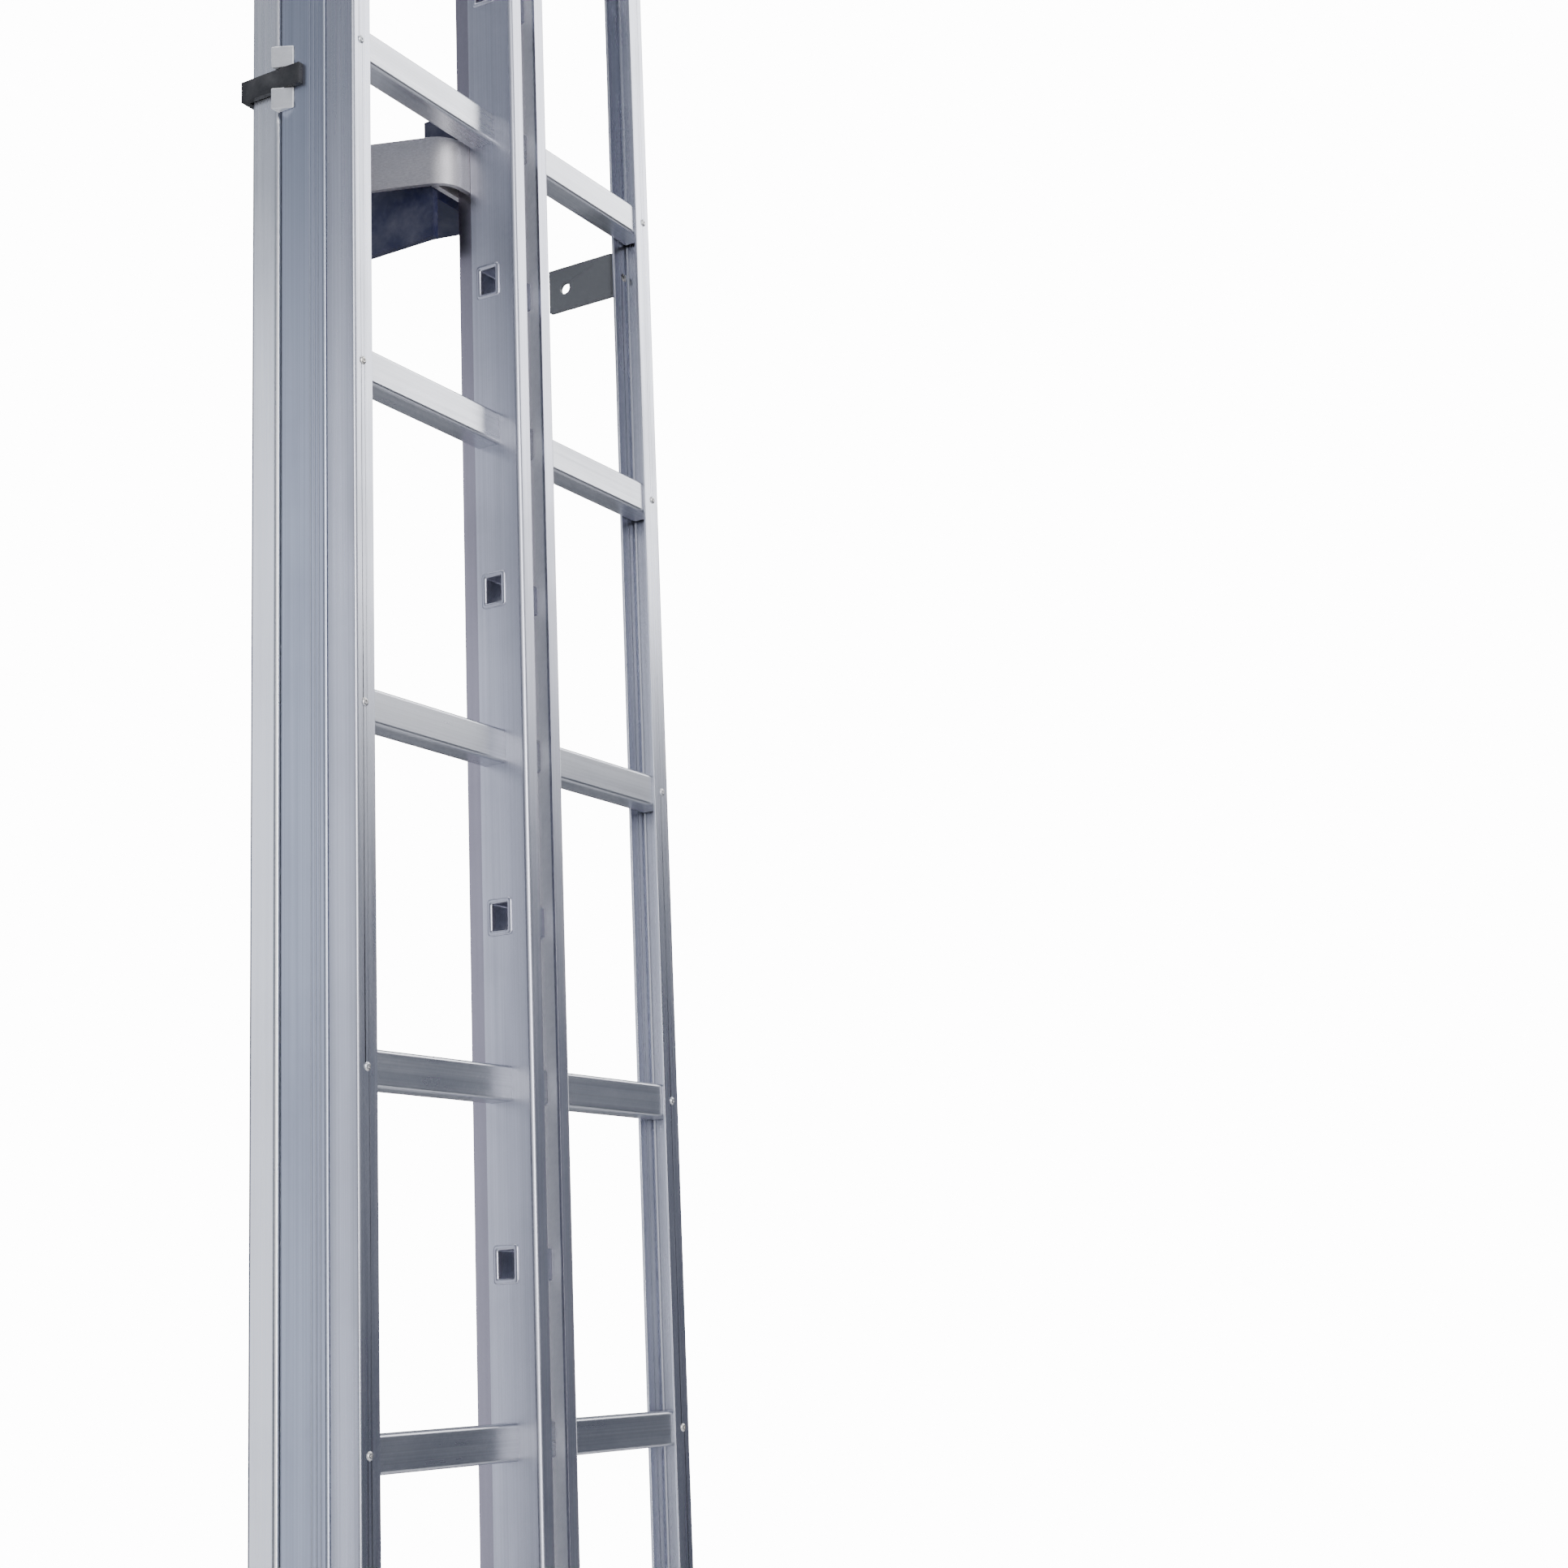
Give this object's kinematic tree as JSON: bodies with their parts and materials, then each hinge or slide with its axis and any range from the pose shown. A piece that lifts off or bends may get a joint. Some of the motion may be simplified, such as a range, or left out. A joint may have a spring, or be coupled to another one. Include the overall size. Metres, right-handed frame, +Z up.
{
  "type": "extension ladder",
  "caption": "Wall-held aluminium extension ladder with a slotted centre rail, a sliding lower section and a sliding grab pole.",
  "frame": {"origin": "on the floor under the feet, centred across the width, midway between the centre rail's front and the wall", "axes": "+X to the climber's right along the rungs, +Y away from the climber towards the wall, +Z up"},
  "size_m": [0.516, 0.145, 3.233],
  "materials": {
    "stile_aluminium": "mill-finish extruded aluminium, fine lengthwise die lines",
    "rail_aluminium": "mill-finish extruded aluminium, satin",
    "rung_aluminium": "extruded aluminium tube, satin",
    "rivet_metal": "plain blind rivets",
    "post_aluminium": "blue-grey extruded aluminium with fine grooves",
    "pole_aluminium": "bright satin aluminium",
    "block_aluminium": "sawn bright aluminium",
    "bar_metal": "rolled flat bar, dull",
    "lug_metal": "dark grey, matt",
    "zinc_fastener": "zinc-plated steel",
    "navy_plastic": "navy moulded plastic",
    "black_plastic": "black moulded plastic",
    "catch_paint": "red painted steel",
    "foot_aluminium": "satin aluminium",
    "black_rubber": "moulded rubber"
  },
  "bodies": {
    "upper_section": {"left_stile": "stile_aluminium", "right_stile": "stile_aluminium", "rail_left": "rail_aluminium", "rail_right": "rail_aluminium", "rung_03": "rung_aluminium", "rung_04": "rung_aluminium", "rung_05": "rung_aluminium", "rung_06": "rung_aluminium", "rung_07": "rung_aluminium", "rung_08": "rung_aluminium", "rung_09": "rung_aluminium", "rung_10": "rung_aluminium", "rung_11": "rung_aluminium", "rail_ties": "rail_aluminium", "rung_rivets": "rivet_metal", "guide_post": "post_aluminium", "post_bolts": "zinc_fastener", "pole_guides": "black_plastic", "guide_blocks": "block_aluminium", "pole_stop": "bar_metal", "lug_left": "lug_metal", "lug_right": "lug_metal", "wall_arm_left": "bar_metal", "wall_arm_right": "bar_metal", "arm_bolts": "zinc_fastener", "rail_bracket": "bar_metal", "rail_spacer": "navy_plastic", "rail_bolts": "zinc_fastener", "strap_upper_left": "bar_metal", "strap_upper_right": "bar_metal", "strap_lower_left": "bar_metal", "strap_lower_right": "bar_metal", "strap_bolts": "zinc_fastener", "slider_pads": "navy_plastic", "stile_caps": "black_plastic", "catch_bracket": "bar_metal", "catch_pin": "zinc_fastener"},
    "lower_section": {"lower_left_stile": "stile_aluminium", "lower_right_stile": "stile_aluminium", "lower_rung_01": "rung_aluminium", "lower_rung_02": "rung_aluminium", "lower_rung_03": "rung_aluminium", "lower_rung_04": "rung_aluminium", "lower_rung_05": "rung_aluminium", "lower_rivets": "rivet_metal", "lower_caps": "black_plastic", "lower_stops": "bar_metal", "foot_pins": "zinc_fastener"},
    "pole": {"grab_pole": "pole_aluminium", "pole_cap": "black_plastic"},
    "clamp": {"clamp_knob": "black_plastic"},
    "catch": {"catch_hook": "catch_paint"},
    "left_foot": {"foot_left": "foot_aluminium", "foot_pad_left": "black_rubber"},
    "right_foot": {"foot_right": "foot_aluminium", "foot_pad_right": "black_rubber"}
  },
  "joints": [
    {"name": "lower_slide", "type": "slide", "parent": "upper_section", "child": "lower_section", "axis": [0, 0, 1], "range_m": [0, 0.84]},
    {"name": "pole_slide", "type": "slide", "parent": "upper_section", "child": "pole", "axis": [0, 0, 1], "range_m": [0, 0.84]},
    {"name": "catch_swing", "type": "hinge", "parent": "upper_section", "child": "catch", "pos_m": [0, -0.001, 1.0985], "axis": [1, 0, 0], "range_deg": [0, 90]},
    {"name": "clamp_turn", "type": "hinge", "parent": "upper_section", "child": "clamp", "pos_m": [-0.235, 0.0395, 3.15], "axis": [1, 0, 0], "range_deg": [0, 360]},
    {"name": "left_foot_tilt", "type": "hinge", "parent": "lower_section", "child": "left_foot", "pos_m": [-0.17, 0.0205, 0.06], "axis": [1, 0, 0], "range_deg": [-20, 20]},
    {"name": "right_foot_tilt", "type": "hinge", "parent": "lower_section", "child": "right_foot", "pos_m": [0.17, 0.0205, 0.06], "axis": [1, 0, 0], "range_deg": [-20, 20]}
  ]
}
